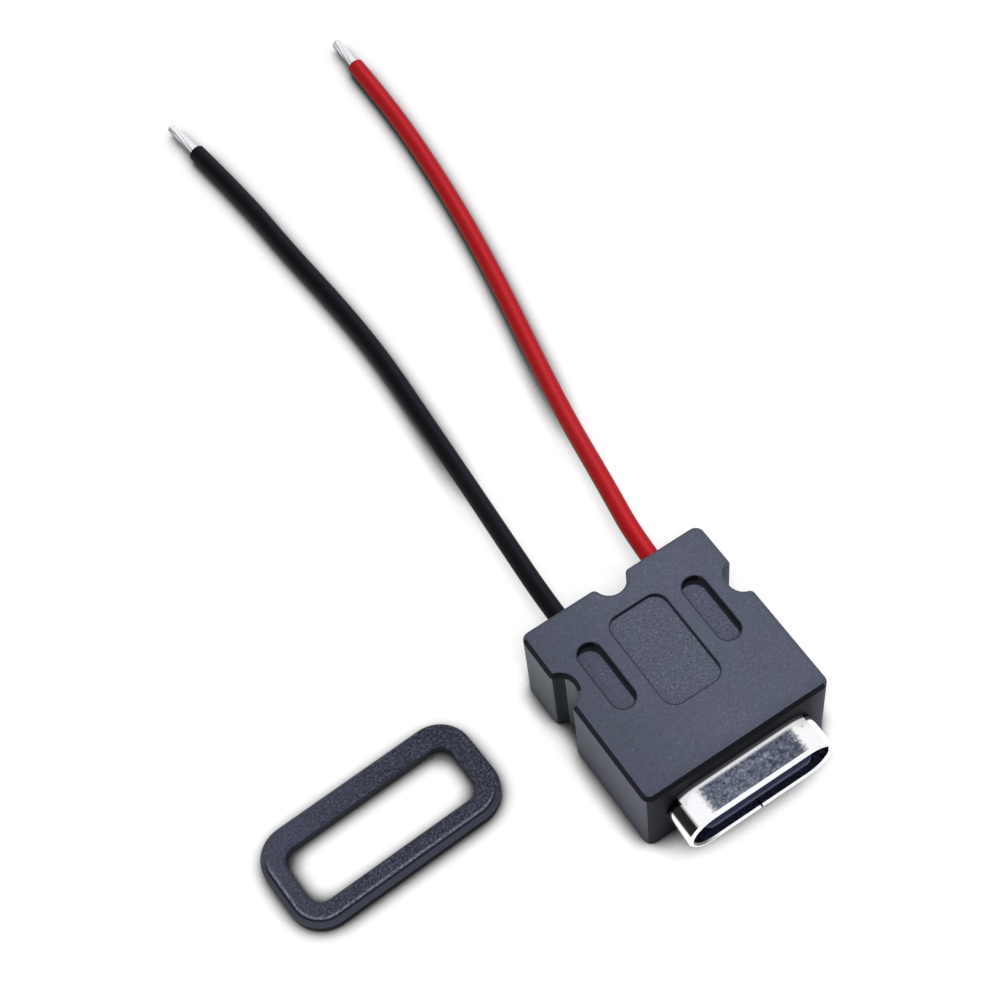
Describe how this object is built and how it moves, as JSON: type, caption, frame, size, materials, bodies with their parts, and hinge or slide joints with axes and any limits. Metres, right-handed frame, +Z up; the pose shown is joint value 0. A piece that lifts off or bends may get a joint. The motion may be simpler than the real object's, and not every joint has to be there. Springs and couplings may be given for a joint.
{
  "type": "waterproof charging socket",
  "caption": "Waterproof USB-C power socket: metal mouth in a small moulded block with locating notches, two leads at the rear and a loose rubber seal ring.",
  "frame": {"origin": "on the ground plane, under the centre of the moulded block's footprint", "axes": "+Z up; -Y out of the mouth, where the plug comes from; +Y towards the leads; +X to the right seen from above with the mouth towards the viewer"},
  "size_m": [0.0324, 0.0575, 0.0058],
  "materials": {
    "housing_plastic": "finely textured slate grey, coarser in the recesses",
    "shell_steel": "bright nickel-plated sheet",
    "insulator_plastic": "satin navy",
    "plate_steel": "plain sheet",
    "contact_gold": "gold-plated",
    "sealing_resin": "cast, glossy",
    "board_laminate": "lacquered laminate",
    "resistor_ceramic": "matt",
    "solder_tin": "bright solder",
    "inner_plastic": "matt",
    "red_insulation": "satin",
    "black_insulation": "satin",
    "tinned_copper": "tinned strands",
    "seal_rubber": "soft matt rubber"
  },
  "bodies": {
    "root": {"black_conductor": "tinned_copper", "black_wire": "black_insulation", "circuit_board": "board_laminate", "contact_cc_lower": "contact_gold", "contact_cc_upper": "contact_gold", "contact_ground_lower": "contact_gold", "contact_ground_upper": "contact_gold", "contact_supply_lower": "contact_gold", "contact_supply_upper": "contact_gold", "housing": "housing_plastic", "inner_mould": "inner_plastic", "mid_plate": "plate_steel", "potting": "sealing_resin", "red_conductor": "tinned_copper", "red_wire": "red_insulation", "resistor_left": "resistor_ceramic", "resistor_right": "resistor_ceramic", "seal_ring": "seal_rubber", "shell": "shell_steel", "solder_black": "solder_tin", "solder_red": "solder_tin", "tongue_block": "insulator_plastic"}
  },
  "joints": []
}
